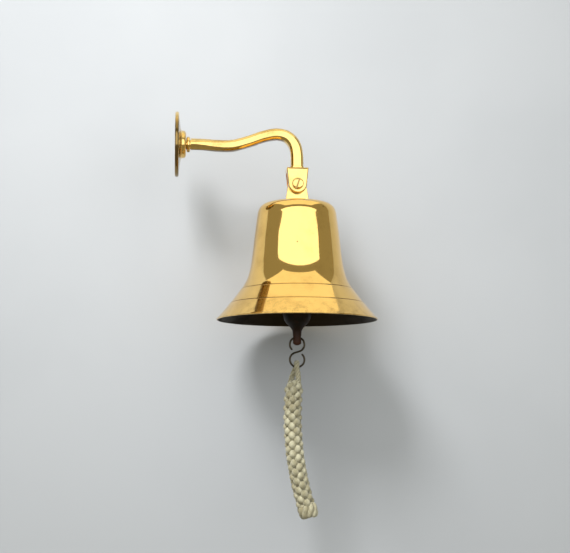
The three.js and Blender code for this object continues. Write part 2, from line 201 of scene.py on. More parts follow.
def lay_map(piece, sides, ring_of, around=1.0, pitch=0.001):
    """A flat map for tubes in one mesh: U goes round, V goes along in units of pitch."""
    mesh = piece.data
    layer = mesh.uv_layers.new(name="along")
    ring = np.array([ring_of[v.index] for v in mesh.vertices], float)
    for polygon in mesh.polygons:
        for loop in polygon.loop_indices:
            v = mesh.loops[loop].vertex_index
            layer.data[loop].uv = ((v % sides) / sides * around, ring[v] * pitch)


# %% [markdown]
# ## The plaited lanyard
#
# The plait is a round sennit of eight soft strands. Each strand comes to the surface, makes one
# plump oval and dives again, while its neighbours do the same half a step later. Seen from outside
# that gives eight columns of ovals, staggered like a pine cone and leaning to alternate sides.
# So each strand is a line that runs down the plait, swings in and out, and sways a little.
# A soft core fills the middle, as the strands' hidden halves do in the real one.

# %% Eight strands round the lanyard's line
STRANDS = 8
OVAL_PITCH = 5.5 * MM  # from one oval to the next in a column
STRAND_RADIUS = 2.25 * MM
STRAND_FLATTEN = 0.8
STRAND_SIDES = 12
STEPS_PER_OVAL = 16
SWING = 1.15 * MM  # how far a strand moves in and out
SWAY = 0.085  # how far it turns to each side, in radians
ROPE_TWIST = 9.0  # the whole plait's slow twist, in radians a metre
SHOULDER = 5 * MM  # the plait rounds in over this length at its top

rope_count = int(rope_length / OVAL_PITCH * STEPS_PER_OVAL)
rope_path = smoothed(rope_line, rope_count)
rope_tangent, rope_side, rope_other = side_directions(rope_path, (0, 1, 0))
rope_along = np.linspace(0, rope_length, rope_count)


def gathered(along):
    """1 along the plait and smaller at its rounded top."""
    near_top = np.clip(along / SHOULDER, 0, 1)
    return 0.45 + 0.55 * np.sqrt(1 - (1 - near_top) ** 2)


points, faces, rings_at = [], [], []
for strand in range(STRANDS):
    lean = 1 if strand % 2 else -1
    phase = 2 * math.pi * rope_along / OVAL_PITCH + math.pi * (strand % 2)
    turn = 2 * math.pi * strand / STRANDS + ROPE_TWIST * rope_along + lean * SWAY * np.sin(phase)
    out = (ROPE_RADIUS - STRAND_RADIUS * STRAND_FLATTEN - SWING) + SWING * np.cos(phase)
    out = (out * gathered(rope_along))[:, None]
    outward = np.cos(turn)[:, None] * rope_side + np.sin(turn)[:, None] * rope_other
    line = rope_path + out * outward
    thick = STRAND_RADIUS * (0.82 + 0.18 * np.cos(phase)) * (0.6 + 0.4 * gathered(rope_along))
    tangent = np.gradient(line, axis=0)
    tangent /= np.linalg.norm(tangent, axis=1)[:, None]
    across = np.cross(tangent, outward)
    across /= np.linalg.norm(across, axis=1)[:, None]
    up = np.cross(across, tangent)
    spin = np.linspace(0, 2 * math.pi, STRAND_SIDES, endpoint=False)
    ring = np.cos(spin)[None, :, None] * across[:, None]
    ring = ring + STRAND_FLATTEN * np.sin(spin)[None, :, None] * up[:, None]
    faces += ring_faces(rope_count, STRAND_SIDES, len(points))
    points += list((line[:, None] + thick[:, None, None] * ring).reshape(-1, 3))
    rings_at += list(np.repeat(np.arange(rope_count), STRAND_SIDES))
core = tube_points(rope_path, (0, 1, 0), (ROPE_RADIUS - 2.6 * MM) * gathered(rope_along), STRAND_SIDES)
faces += ring_faces(rope_count, STRAND_SIDES, len(points))
points += list(core)
rings_at += list(np.repeat(np.arange(rope_count), STRAND_SIDES))
lanyard_plait = new_piece("lanyard_plait", points, faces)
lay_map(lanyard_plait, STRAND_SIDES, rings_at)
print(f"the plait has {STRANDS} strands and {len(lanyard_plait.data.polygons)} faces")

# %% [markdown]
# ## The lanyard's eye
#
# One length of three-strand cord goes over the hook's wire, and its two legs run down into the
# plait. The wire lies flat against the viewer, so one leg comes down in front of it and the other
# behind, and they spread a little to the sides before the plait takes them in. Laid cord is three
# thin lines that wind round one another, so it is three helices round the bight's line.

# %% Three strands laid round the bight
CORD_RADIUS = 1.7 * MM
LEG = 2.75 * MM  # half the space between the two legs, front to back
EYE_TOP = 1.88 * MM  # from the loop's centre down to the cord over the wire
LEG_SPREAD = 2.1 * MM  # how far the front leg moves to one side and the back leg to the other
LEG_END = 16.5 * MM  # the legs end inside the plait
LAY = 6.5 * MM  # one turn of the cord's three strands
LANYARD_LEAN = math.radians(6.7)

bight = [Vector((LEG_SPREAD, -LEG * 0.75, -LEG_END)), Vector((LEG_SPREAD * 0.8, -LEG, -LEG_END * 0.66))]
arc_centre = -EYE_TOP - LEG
for step in range(9):
    turn = math.pi * (1 - step / 8)
    bight.append(Vector((0, LEG * math.cos(turn), arc_centre + LEG * math.sin(turn))))
bight += [Vector((-LEG_SPREAD * 0.8, LEG, -LEG_END * 0.66)), Vector((-LEG_SPREAD, LEG * 0.75, -LEG_END))]
lean = Matrix.Rotation(LANYARD_LEAN, 3, "Y")
bight_line = smoothed([LOWER_LOOP + lean @ point for point in bight], 160)
bight_length = np.linalg.norm(np.diff(bight_line, axis=0), axis=1).sum()
tangent, side, other = side_directions(bight_line, (1, 0, 0))
along = np.linspace(0, bight_length, len(bight_line))
points, faces, rings_at = [], [], []
for strand in range(3):
    turn = 2 * math.pi * (strand / 3 + along / LAY)
    offset = 0.5 * CORD_RADIUS * (np.cos(turn)[:, None] * side + np.sin(turn)[:, None] * other)
    faces += ring_faces(len(bight_line), 10, len(points))
    points += list(tube_points(bight_line + offset, (1, 0, 0), 0.54 * CORD_RADIUS, 10))
    rings_at += list(np.repeat(np.arange(len(bight_line)), 10))
lanyard_bight = new_piece("lanyard_bight", points, faces)
lay_map(lanyard_bight, 10, rings_at)
print(f"the eye is {bight_length * 1000:.1f} mm of cord")

# %% [markdown]
# ## The lanyard's end
#
# The plait ends bluntly: the eight strands are tucked back in two last staggered rows of plump
# ovals, turn in over the end and are cut off short in the middle. The cut ends fray a little.

# %% Two rows of plump ovals that turn in, and the cut ends
KNOT_RADIUS = 6.2 * MM
end_point = Vector(rope_path[-1])
end_axis = Vector(rope_tangent[-1]).normalized()
end_side = Vector(rope_side[-1])
end_other = Vector(rope_other[-1])
random.seed(11)
points, faces, rings_at = [], [], []


def knot_place(turn, reach, down):
    outward = math.cos(turn) * end_side + math.sin(turn) * end_other
    return end_point + reach * outward + down * end_axis


last_turn = ROPE_TWIST * rope_length
UPPER_ROW = [(-0.15, 3.3, -0.9), (-0.08, 2.0, 0.8), (0.08, 2.0, 2.6), (0.15, 3.4, 4.2)]
LOWER_ROW = [(-0.15, 3.4, 2.2), (-0.08, 2.1, 3.8), (0.10, 2.5, 5.4), (0.30, 4.0, 6.2)]
for row, stations in enumerate((UPPER_ROW, LOWER_ROW)):  # turn, depth under the knot's skin, way down
    for strand in range(STRANDS):
        turn = 2 * math.pi * (strand + 0.5 + row / 2) / STRANDS + last_turn
        fat = random.uniform(0.9, 1.06)
        slip = random.uniform(-0.35, 0.35)
        route = [
            knot_place(turn + more, KNOT_RADIUS - under * MM, (down + slip) * MM)
            for more, under, down in stations
        ]
        line = smoothed(route, 20)
        share = np.linspace(-1, 1, len(line))
        thick = 1.85 * MM * fat * np.sqrt(np.clip(1.05 - share**4, 0.1, 1))
        faces += ring_faces(len(line), STRAND_SIDES, len(points))
        points += list(tube_points(line, tuple(end_axis), thick, STRAND_SIDES))
        rings_at += list(np.repeat(np.arange(len(line)), STRAND_SIDES))
for cut in range(7):
    turn = 2 * math.pi * cut / 6
    reach = 0 if cut == 6 else random.uniform(1.6, 2.6) * MM
    tip = random.uniform(6.0, 7.1) * MM
    line = smoothed([knot_place(turn, reach * 0.7, 2 * MM), knot_place(turn + 0.3, reach, tip)], 8)
    thick = np.full(len(line), random.uniform(0.9, 1.2) * MM)
    faces += ring_faces(len(line), STRAND_SIDES, len(points))
    points += list(tube_points(line, tuple(end_side), thick, STRAND_SIDES))
    rings_at += list(np.repeat(np.arange(len(line)), STRAND_SIDES))
lanyard_knot = new_piece("lanyard_knot", points, faces)
lay_map(lanyard_knot, STRAND_SIDES, rings_at)
print("the end knot has", len(lanyard_knot.data.polygons), "faces")

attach(lanyard_plait, "lanyard")
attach(lanyard_bight, "lanyard")
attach(lanyard_knot, "lanyard")
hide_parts("lanyard_rope")
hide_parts("lanyard_eye")
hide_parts("lanyard_end_knot")

# %% [markdown]
# ## Turned pieces
#
# The bell, the wall plate, the collar, the screw and the clapper all come off a lathe, so each is
# one outline spun round an axis. A polished turned surface shows every corner of its outline as a
# line of light, so curved stretches are drawn as curves with many points. True corners are kept
# sharp, and a small rounding is drawn where the polishing wheel has softened an edge.

# %% The lathe
def curve_between(start, start_way, end, end_way, steps=12):
    """Points of one smooth curve. A way is the direction there, times a third of the reach."""
    p0, p1 = np.array(start, float), np.array(start, float) + np.array(start_way, float)
    p3, p2 = np.array(end, float), np.array(end, float) - np.array(end_way, float)
    t = np.linspace(0, 1, steps + 1)[:, None]
    curve = (1 - t) ** 3 * p0 + 3 * (1 - t) ** 2 * t * p1 + 3 * (1 - t) * t**2 * p2 + t**3 * p3
    return [tuple(p) for p in curve]


def rounded(corners, radius, steps=4):
    """An outline with its corners rounded. A corner may carry its own radius as a third number."""
    out = [corners[0][:2]]
    for before, corner, after in zip(corners, corners[1:], corners[2:]):
        reach = corner[2] if len(corner) > 2 else radius
        here = np.array(corner[:2], float)
        back = np.array(before[:2], float) - here
        on = np.array(after[:2], float) - here
        cut = min(reach, 0.45 * np.linalg.norm(back), 0.45 * np.linalg.norm(on))
        a = here + back / np.linalg.norm(back) * cut
        b = here + on / np.linalg.norm(on) * cut
        out += curve_between(a, (here - a) * 0.56, b, (b - here) * 0.56, steps)
    return out + [corners[-1][:2]]


def turned(name, outline, axis="Z", centre=(0, 0, 0), segments=96, sharp=40):
    """Spins an outline of (radius, height) in millimetres round an axis through centre."""
    outline = [p for i, p in enumerate(outline) if i == 0 or math.dist(p, outline[i - 1]) > 1e-4]
    on_axis = outline[0][0] < 1e-6 and outline[-1][0] < 1e-6
    ring = outline[1:-1] if on_axis else outline[:-1]
    turn = np.linspace(0, 2 * math.pi, segments, endpoint=False)
    points = [(r * math.cos(a), r * math.sin(a), h) for r, h in ring for a in turn]
    rings = len(ring)
    faces = []
    for i in range(rings - 1 if on_axis else rings):
        for j in range(segments):
            a, b = i * segments + j, i * segments + (j + 1) % segments
            c, d = b + segments, a + segments
            faces.append(tuple(v % (rings * segments) for v in (a, b, c, d)))
    if on_axis:
        for point, row in ((outline[0], 0), (outline[-1], rings - 1)):
            tip = len(points)
            points.append((0, 0, point[1]))
            for j in range(segments):
                a, b = row * segments + j, row * segments + (j + 1) % segments
                faces.append((b, a, tip) if row == 0 else (a, b, tip))
    points = np.array(points) * MM
    if axis == "X":
        points = np.stack([points[:, 2], points[:, 0], points[:, 1]], axis=1)
    if axis == "Y":
        points = np.stack([points[:, 1], points[:, 2], points[:, 0]], axis=1)
    piece = new_piece(name, points + np.array(centre), faces)
    face_outwards(piece, sharp)
    return piece


def face_outwards(piece, sharp=40):
    """Turns every face of a closed piece outwards and keeps corners sharper than sharp degrees."""
    work = bmesh.new()
    work.from_mesh(piece.data)
    bmesh.ops.recalc_face_normals(work, faces=work.faces)
    work.to_mesh(piece.data)
    work.free()
    piece.data.shade_smooth()
    piece.data.set_sharp_from_angle(angle=math.radians(sharp))
    return piece


# %% [markdown]
# ## The bell
#
# The bell's outline is what makes it a bell. Under a flat crown with a full round shoulder, the
# waist widens slowly, then sweeps out to the lip. Two fine lines are turned into the sweep, each
# a little step with a groove above it. Between them the metal is left in plain cones, nearly
# straight. The metal is about 2 mm thick there and thickens towards the lip, as a casting does.
#
# The outline is drawn in three curves, with the steps between them, from the crown to the lip.

# %% The bell's outline, in millimetres: radius, and depth below the crown's top
CROWN_TOP = -11.4  # below the pivot
CROWN_HOLE = 3.3

shoulder = curve_between((15.5, 0), (7.1, 0.1), (24.9, 8.5), (0.5, 5.3), 28)
waist = (
    curve_between((24.9, 8.5), (0.72, 5.33), (26.9, 24.5), (0.53, 5.33), 20)
    + curve_between((26.9, 24.5), (0.47, 4.67), (28.6, 38.5), (0.7, 4.67), 20)
    + curve_between((28.6, 38.5), (0.375, 2.5), (30.4, 46), (0.83, 2.5), 20)
    + curve_between((30.4, 46), (0.9, 2.73), (34.6, 54.1), (1.95, 2.7), 24)
)
line_one = curve_between((34.6, 54.1), (-0.05, 0.12), (34.5, 54.4), (0.0, 0.1), 4)
ledge_one = curve_between((34.5, 54.4), (0.3, 0.02), (35.2, 54.62), (0.12, 0.14), 6)
cone_one = curve_between((35.2, 54.62), (1.96, 2.8), (41.45, 62.95), (2.22, 2.78), 28)
line_two = curve_between((41.45, 62.95), (-0.05, 0.12), (41.35, 63.2), (0.0, 0.1), 4)
ledge_two = curve_between((41.35, 63.2), (0.3, 0.02), (42.0, 63.42), (0.12, 0.14), 6)
LINE_DEPTHS = (54.35, 63.15)
cone_two = curve_between((42.0, 63.42), (2.25, 2.86), (49.25, 72.1), (2.52, 2.87), 28)
lip = curve_between((49.25, 72.1), (0.45, 0.5), (50.0, 72.95), (0.0, 0.2), 8)
lip += curve_between((50.0, 72.95), (0.0, 0.28), (49.4, 73.4), (-0.3, 0.0), 8)
lip += curve_between((49.4, 73.4), (-0.4, 0.0), (48.4, 73.05), (-0.25, -0.25), 8)
INSIDE = [(48.4, 73.05), (43.5, 68.6), (38.5, 63), (34.7, 58), (31.5, 53), (28.6, 47), (26.4, 40), (25, 32)]
INSIDE += [(23.9, 22), (23, 13), (21.8, 7.2), (19.2, 4.4), (15.5, 3.2), (CROWN_HOLE, 3.2)]
inside = [(p[0], p[1]) for p in smoothed([(r, d, 0) for r, d in INSIDE], 120)]

outside = [(CROWN_HOLE, 0)] + shoulder + waist + line_one + ledge_one + cone_one
outside += line_two + ledge_two + cone_two
outline = [(r, CROWN_TOP - d) for r, d in outside + lip + inside + [(CROWN_HOLE, 0)]]
brass_bell = turned("brass_bell", outline, centre=PIVOT, segments=192, sharp=50)
bell_size = [round(v * 1000, 1) for v in brass_bell.dimensions]
print("the bell has", len(brass_bell.data.polygons), "faces and is", bell_size, "mm")
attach(brass_bell, "bell")
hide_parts("bell_body")

# %% [markdown]
# ## Pieces cut from plate
#
# The fork and the lug are flat plates with a shaped outline. An outline in the X-Z plane is given
# thickness along Y, and its rims are bevelled with a few small faces, so that they catch a line of
# light as filed and buffed edges do. Slots and holes are then cut through, and joined pieces
# become one body, so no faces are left inside the metal.

# %% Plates, cuts and joins
def plate(name, outline, half_thick, bevel, centre=(0, 0, 0), segments=4):
    """A plate from (x, z) points in millimetres, from -half_thick to +half_thick along Y."""
    work = bmesh.new()
    ring = [work.verts.new((x, -half_thick, z)) for x, z in outline]
    face = work.faces.new(ring)
    made = bmesh.ops.extrude_face_region(work, geom=[face])
    for vert in (item for item in made["geom"] if isinstance(item, bmesh.types.BMVert)):
        vert.co.y = half_thick
    rims = [e for e in work.edges if abs(e.verts[0].co.y - e.verts[1].co.y) < 1e-9]
    bmesh.ops.bevel(work, geom=rims, offset=bevel, segments=segments, profile=0.5, affect="EDGES")
    bmesh.ops.recalc_face_normals(work, faces=work.faces)
    bmesh.ops.scale(work, vec=(MM, MM, MM), verts=work.verts)
    mesh = bpy.data.meshes.new(name)
    work.to_mesh(mesh)
    work.free()
    piece = bpy.data.objects.new(name, mesh)
    piece.location = centre
    bpy.context.scene.collection.objects.link(piece)
    settle(piece)
    return piece


def settle(piece):
    """Puts a piece's place into its points, with its modifiers, so that it sits at the origin."""
    bpy.context.view_layer.update()
    shown = piece.evaluated_get(bpy.context.evaluated_depsgraph_get())
    mesh = bpy.data.meshes.new_from_object(shown)
    mesh.transform(piece.matrix_world)
    piece.modifiers.clear()
    piece.data = mesh
    piece.matrix_world = Matrix.Identity(4)


def combine(piece, joined=(), cut=(), sharp=40):
    """Joins pieces to a piece and cuts others away, then removes them."""
    for others, operation in ((joined, "UNION"), (cut, "DIFFERENCE")):
        for other in others:
            step = piece.modifiers.new(operation, "BOOLEAN")
            step.operation = operation
            step.solver = "EXACT"
            step.object = other
            settle(piece)
            bpy.data.objects.remove(other)
    work = bmesh.new()
    work.from_mesh(piece.data)
    bmesh.ops.remove_doubles(work, verts=work.verts, dist=1e-6)
    bmesh.ops.dissolve_degenerate(work, edges=work.edges, dist=1e-6)
    work.to_mesh(piece.data)
    work.free()
    return face_outwards(piece, sharp)


def rod(name, radius, low, high, axis="Z", centre=(0, 0, 0), soft=0.2, segments=64):
    """A round bar with softened ends, along an axis through centre, in millimetres."""
    outline = rounded([(0, low), (radius, low), (radius, high), (0, high)], soft)
    return turned(name, outline, axis, centre, segments)


def arc(centre_x, centre_z, radius, start, stop, steps):
    """(x, z) points of an arc, with its angles in radians."""
    turns = np.linspace(start, stop, steps + 1)
    return [(centre_x + radius * math.cos(a), centre_z + radius * math.sin(a)) for a in turns]


# %% [markdown]
# ## The swan-necked arm
#
# The arm starts as a round bar at the collar. The smith has drawn four flats on it that fade in
# over the first third: the front flat begins as a point and widens until only a narrow filed
# corner is left above and below it. Then the bar rises, turns over and comes straight down into
# the fork. So the section that is carried along the line is an oblong with cut corners, and the
# corners' size changes on the way. Each corner edge gets a tiny rounding to shine.

# %% Carry an oblong with cut corners along the neck
ARM_STATIONS = [  # x, z and the bar's depth there
    (9.8, 0.35, 7.2),
    (18, 0.1, 7),
    (27, -0.5, 6.9),
    (36, -0.2, 6.9),
    (46, 2.6, 6.8),
    (55, 5.9, 6.9),
    (63.4, 7.6, 7),
    (70.2, 6.1, 7.2),
    (74.6, 1.4, 7.5),
    (76.2, -5.2, 7.7),
    (76.4, -14.8, 7.8),
]
ARM_HALF_WIDTH = 3.8
CORNER_AT_START = 2.7
CORNER_ALONG = 1.6
FADE_LENGTH = 21.0
NECK_HIGH = 1.3  # a low band where the bar meets the fork
NECK_PROUD = 0.3
FORK_TOP_Z = -14.4

stations = smoothed([(x, depth, z) for x, z, depth in ARM_STATIONS], 420)
line = np.stack([stations[:, 0], np.zeros(len(stations)), stations[:, 2]], axis=1)
tangent = np.gradient(line, axis=0)
tangent /= np.linalg.norm(tangent, axis=1)[:, None]
across = np.stack([-tangent[:, 2], np.zeros(len(line)), tangent[:, 0]], axis=1)
travelled = np.concatenate([[0], np.cumsum(np.linalg.norm(np.diff(line, axis=0), axis=1))])
points = []
for here, up, depth, way in zip(line, across, stations[:, 1], travelled):
    fade = min(1.0, way / FADE_LENGTH)
    fade = fade * fade * (3 - 2 * fade)
    cut = CORNER_AT_START + (CORNER_ALONG - CORNER_AT_START) * fade
    near_fork = here[0] > 70 and here[2] < FORK_TOP_Z + NECK_HIGH
    wide = ARM_HALF_WIDTH * (0.92 + 0.08 * fade) + (NECK_PROUD if near_fork else 0)
    high = depth / 2 + (NECK_PROUD if near_fork else 0)
    corners = []
    for sy, sz in ((1, -1), (1, 1), (-1, 1), (-1, -1)):
        first, second = (sy * wide, sz * (high - cut)), (sy * (wide - cut), sz * high)
        corners += [first, second] if sy * sz > 0 else [second, first]
    section = rounded([corners[-1]] + corners + [corners[0]], 0.5, 4)[1:-1]
    points += [here + np.array((0, w, 0)) + up * h for w, h in section]
sides = len(points) // len(line)
bracket_bar = new_piece("bracket_bar", np.array(points) * MM, ring_faces(len(line), sides))
face_outwards(bracket_bar, 55)
print(f"the arm's line is {travelled[-1]:.1f} mm long and its section has {sides} points")

# %% [markdown]
# ## The fork
#
# The arm ends in a block shaped like a shield: a flat top, straight sides that draw in, and a
# round end about the pivot. A slot from below makes two cheeks, and the pivot screw goes through
# both. The faces are flat and the rims are well rounded, which gives the pale line round them.

# %% The shield, its slot and its bore
FORK_TOP = 10.5
FORK_TOP_HALF = 6.9
FORK_END_R = 5.8
FORK_HALF_WIDTH = 6.2
SLOT_HALF = 2.7
SLOT_TOP = 7.6
PIVOT_R = 2.0
AIR = 0.3

corner_turn = math.atan2(FORK_TOP, FORK_TOP_HALF)
touch = corner_turn - math.acos(FORK_END_R / math.hypot(FORK_TOP, FORK_TOP_HALF))
shield = rounded(
    [(0, FORK_TOP), (-FORK_TOP_HALF, FORK_TOP), arc(0, 0, FORK_END_R, math.pi - touch, 0, 1)[0]], 0.5, 4
)[:-1]
shield += arc(0, 0, FORK_END_R, math.pi - touch, 2 * math.pi + touch, 40)
shield += rounded([shield[-1], (FORK_TOP_HALF, FORK_TOP), (0, FORK_TOP)], 0.5, 4)[1:-1]
fork = plate("fork", shield, FORK_HALF_WIDTH, 1.0, PIVOT, segments=6)
slot_box = [(-40, SLOT_TOP), (-40, -20), (40, -20), (40, SLOT_TOP)]
slot_cut = plate("slot_cut", slot_box, SLOT_HALF, 0.25, PIVOT, segments=2)
bore_cut = rod("bore_cut", PIVOT_R + AIR, -12, 12, "Y", PIVOT)
combine(fork, cut=[slot_cut, bore_cut])
spigot = rod("spigot", 3.0, 1.6, 14, "X")
combine(bracket_bar, joined=[fork, spigot], sharp=50)
bracket_bar.name = "swan_neck"
print("arm and fork are one piece with", len(bracket_bar.data.polygons), "faces")
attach(bracket_bar, "bracket")
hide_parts("bracket_arm")

# %% [markdown]
# ## Wall plate and collar
#
# The plate is a thin disc that dishes up into a boss, with a rounded rim. Three countersunk holes
# take the wall screws. A loose ring, turned like a bead, fills the neck between boss and arm.

# %% Turn the plate, sink its holes, and turn the collar
PLATE_R = 20.4
BOSS_R = 8.6
BOSS_END = 6.8
SPIGOT_R = 3.0

plate_outline = [(0, 1.3), (SPIGOT_R + AIR, 1.3), (SPIGOT_R + AIR, BOSS_END), (BOSS_R - 1.9, BOSS_END)]
plate_outline += curve_between((BOSS_R - 1.9, BOSS_END), (0.9, 0), (BOSS_R - 0.1, 5.4), (0.1, -0.7), 10)
plate_outline += curve_between((BOSS_R - 0.1, 5.4), (0.02, -0.3), (BOSS_R, 4.5), (0, -0.3), 4)
plate_outline += curve_between((BOSS_R, 4.4), (0.12, -0.9), (BOSS_R + 3.6, 3.1), (1.1, -0.2), 12)
plate_outline += curve_between((BOSS_R + 3.6, 3.1), (2.4, -0.35), (PLATE_R - 0.9, 2.3), (0.3, -0.05), 10)
plate_outline += curve_between((PLATE_R - 0.9, 2.3), (0.55, -0.08), (PLATE_R, 1.2), (0, -0.4), 8)
plate_outline += curve_between((PLATE_R, 1.2), (0, -0.5), (PLATE_R - 0.7, 0), (-0.4, 0), 8)
plate_outline += [(0, 0)]
wall_disc = turned("wall_disc", plate_outline[::-1], "X", segments=128)
holes = []
for i in range(3):
    turn = math.pi / 2 + i * 2 * math.pi / 3
    centre = (0, 14.6 * MM * math.cos(turn), 14.6 * MM * math.sin(turn))
    sink = [(0, -1), (2.2, -1), (2.2, 1.4), (3.9, 3.2), (3.9, 5.2), (0, 5.2)]
    holes.append(turned("sink", sink, "X", centre, 48))
combine(wall_disc, cut=holes)
bead = rounded([(3.3, 7.1), (4.2, 7.1), (4.9, 7.6), (4.9, 8.9), (4.2, 9.4), (3.3, 9.4)], 0.6, 5)
collar_bead = turned("collar_bead", bead + [(3.3, 7.1)], "X", segments=96)
for piece, node in ((wall_disc, "wall_plate"), (collar_bead, "arm_collar")):
    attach(piece, "bracket")
    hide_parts(node)
print("wall plate", len(wall_disc.data.polygons), "faces, collar", len(collar_bead.data.polygons), "faces")

# %% [markdown]
# ## The pivot screw, its washer and nut
#
# A round-headed slotted screw goes through the fork from the front, and a washer and a hexagon
# nut hold it behind. The head is a low dome, and its slot stands at a slant, as it was left.
# A nut's corners are turned off at a slant on both faces, so it is a hexagon cut by a cone.

# %% Screw, washer and nut
HEAD_R = 3.6
HEAD_FACE = -8.6
HEAD_BACK = -6.5
SCREW_END = 11.8
SLOT_SLANT = math.radians(18)

head = curve_between((0, HEAD_FACE), (1.2, 0.0), (HEAD_R - 1.1, HEAD_FACE + 0.2), (0.8, 0.18), 8)
rim = curve_between((HEAD_R - 1.1, HEAD_FACE + 0.2), (0.7, 0.15), (HEAD_R, HEAD_FACE + 1.3), (0, 0.8), 12)
head += rim[1:]
head += [(HEAD_R, HEAD_BACK), (PIVOT_R, HEAD_BACK)]
screw_outline = head + [(PIVOT_R, HEAD_BACK), (PIVOT_R, 11.4), (1.6, SCREW_END), (0, SCREW_END)]
slotted_screw = turned("slotted_screw", screw_outline, "Y", PIVOT, 72)
slot_shape = [(-0.5, -6), (0.5, -6), (0.5, 6), (-0.5, 6)]
slant_cos, slant_sin = math.cos(SLOT_SLANT), math.sin(SLOT_SLANT)
slot_turned = [(x * slant_cos + z * slant_sin, z * slant_cos - x * slant_sin) for x, z in slot_shape]
slot_cutter = plate("slot_cutter", slot_turned, 1.1, 0.05, PIVOT + MM * Vector((0, HEAD_FACE, 0)), 1)
combine(slotted_screw, cut=[slot_cutter])


def hex_nut(name, flats, bore, low, high, axis, centre):
    """A hexagon nut with slanted corners, in millimetres."""
    corner = flats / math.sqrt(3)
    turns = np.linspace(0, 2 * math.pi, 6, endpoint=False)
    six = [(corner * math.cos(a), corner * math.sin(a)) for a in turns]
    body = plate(name, six, (high - low) / 2, 0.08, (0, (high + low) / 2 * MM, 0), 1)
    slant = turned("slant", [(0, low), (corner * 0.9, low), (corner * 1.04, low + 0.7),
                             (corner * 1.04, high - 0.7), (corner * 0.9, high), (0, high)], "Y", segments=64)
    keep = body.modifiers.new("corners", "BOOLEAN")
    keep.operation, keep.solver, keep.object = "INTERSECT", "EXACT", slant
    settle(body)
    bpy.data.objects.remove(slant)
    combine(body, cut=[rod("bore", bore, low - 2, high + 2, "Y")], sharp=30)
    if axis == "Z":
        body.data.transform(Matrix.Rotation(math.pi / 2, 4, "X"))
    body.data.transform(Matrix.Translation(centre))
    return body


def washer(name, radius, bore, low, high, axis, centre):
    """A flat washer with softened rims, in millimetres."""
    outline = rounded([(bore, low), (radius, low), (radius, high), (bore, high)], 0.15, 3)
    return turned(name, outline + [(bore, low)], axis, centre, 64)


screw_washer = washer("screw_washer", 4.4, PIVOT_R + AIR, 6.5, 7.3, "Y", PIVOT)
screw_nut = hex_nut("screw_nut", 7, PIVOT_R + AIR, 7.6, 10.8, "Y", PIVOT)
for piece, node in ((slotted_screw, "pivot_screw"), (screw_washer, "pivot_washer"), (screw_nut, "pivot_nut")):
    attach(piece, "bracket")
    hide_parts(node)
    print(piece.name, len(piece.data.polygons), "faces")

# %% [markdown]
# ## The lug and what holds it in the crown
#
# The lug is a plate with a round top that fits the fork's slot, spreads to its foot and stands on
# the crown. Its stem goes through the crown, and a washer and a nut hold it from inside. The
# staple's pin goes up into the stem, and its eye carries the clapper.

# %% Lug, crown washer, crown nut and staple
LUG_TOP_R = 5.6
LUG_BASE_HALF = 7.6
LUG_BASE = CROWN_TOP + AIR
LUG_HALF = 2.4
STEM_END = CROWN_TOP - 12.6
EYE_R = 3.6
EYE_WIRE_R = 1.3

touch = math.atan2(LUG_BASE, LUG_BASE_HALF) + math.acos(LUG_TOP_R / math.hypot(LUG_BASE_HALF, LUG_BASE))
lug_outline = [(-LUG_BASE_HALF, LUG_BASE), (LUG_BASE_HALF, LUG_BASE)]
lug_outline += arc(0, 0, LUG_TOP_R, touch, math.pi - touch, 32)
hanging_lug = plate("hanging_lug", lug_outline, LUG_HALF, 0.4, PIVOT, 3)
stem = rod("stem", 3.0, STEM_END, LUG_BASE + 1, "Z", PIVOT)
stem_bore = rod("stem_bore", 1.8, STEM_END - 2, STEM_END + 6, "Z", PIVOT)
pivot_bore = rod("pivot_bore", PIVOT_R + AIR, -12, 12, "Y", PIVOT)
combine(hanging_lug, joined=[stem], cut=[pivot_bore, stem_bore])
inner_washer = washer("inner_washer", 7.5, 3.3, -16.1, -14.9, "Z", PIVOT)
inner_nut = hex_nut("inner_nut", 10, 3.3, -21.4, -16.4, "Z", PIVOT)


def wire_ring(name, centre, radius, wire_radius, side, normal):
    """A closed ring of round wire about centre, in metres."""
    side, normal = Vector(side), Vector(normal)
    around = normal.cross(side)
    turns = np.linspace(0, 2 * math.pi, 72, endpoint=False)
    spin = np.linspace(0, 2 * math.pi, 24, endpoint=False)
    points = []
    for a in turns:
        outward = math.cos(a) * side + math.sin(a) * around
        points += [
            centre + outward * (radius + wire_radius * math.cos(b)) + normal * wire_radius * math.sin(b)
            for b in spin
        ]
    faces = ring_faces(73, 24, close_ends=False)
    faces = [tuple(v % (72 * 24) for v in face) for face in faces]
    return face_outwards(new_piece(name, points, faces))


staple_centre = CLAPPER_HINGE + Vector((0, 0, EYE_R * MM))
staple_eye = wire_ring("staple_eye", staple_centre, EYE_R * MM, EYE_WIRE_R * MM, (0, 0, 1), (1, 0, 0))
pin = rod("pin", 1.5, STEM_END - 1.4, STEM_END + 5.7, "Z", PIVOT)
combine(staple_eye, joined=[pin])
print("lug", len(hanging_lug.data.polygons), "faces, staple", len(staple_eye.data.polygons), "faces")
for piece, node, slot_name in (
    (hanging_lug, "crown_lug", "polished_brass"),
    (inner_washer, "crown_washer", "dull_brass"),
    (inner_nut, "crown_nut", "dull_brass"),
    (staple_eye, "clapper_staple", "dark_iron"),
):
    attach(piece, "bell")
    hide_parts(node)

# %% [markdown]
# ## The clapper
#
# The clapper is cast iron: an eye, a thin rod, a ball like a turnip, and a tail that sticks out
# below the lip, with a hole for the hook. Castings have no sharp corners, so its outline is one
# smooth line.

# %% Turn the clapper, add its eye and drill its tail
ROD_R = 2.2
BALL_R = 9.0
BALL_DROP = 46.6
TAIL_R = 2.6
TAIL_END = 67.4
EYE_SLACK = 0.65

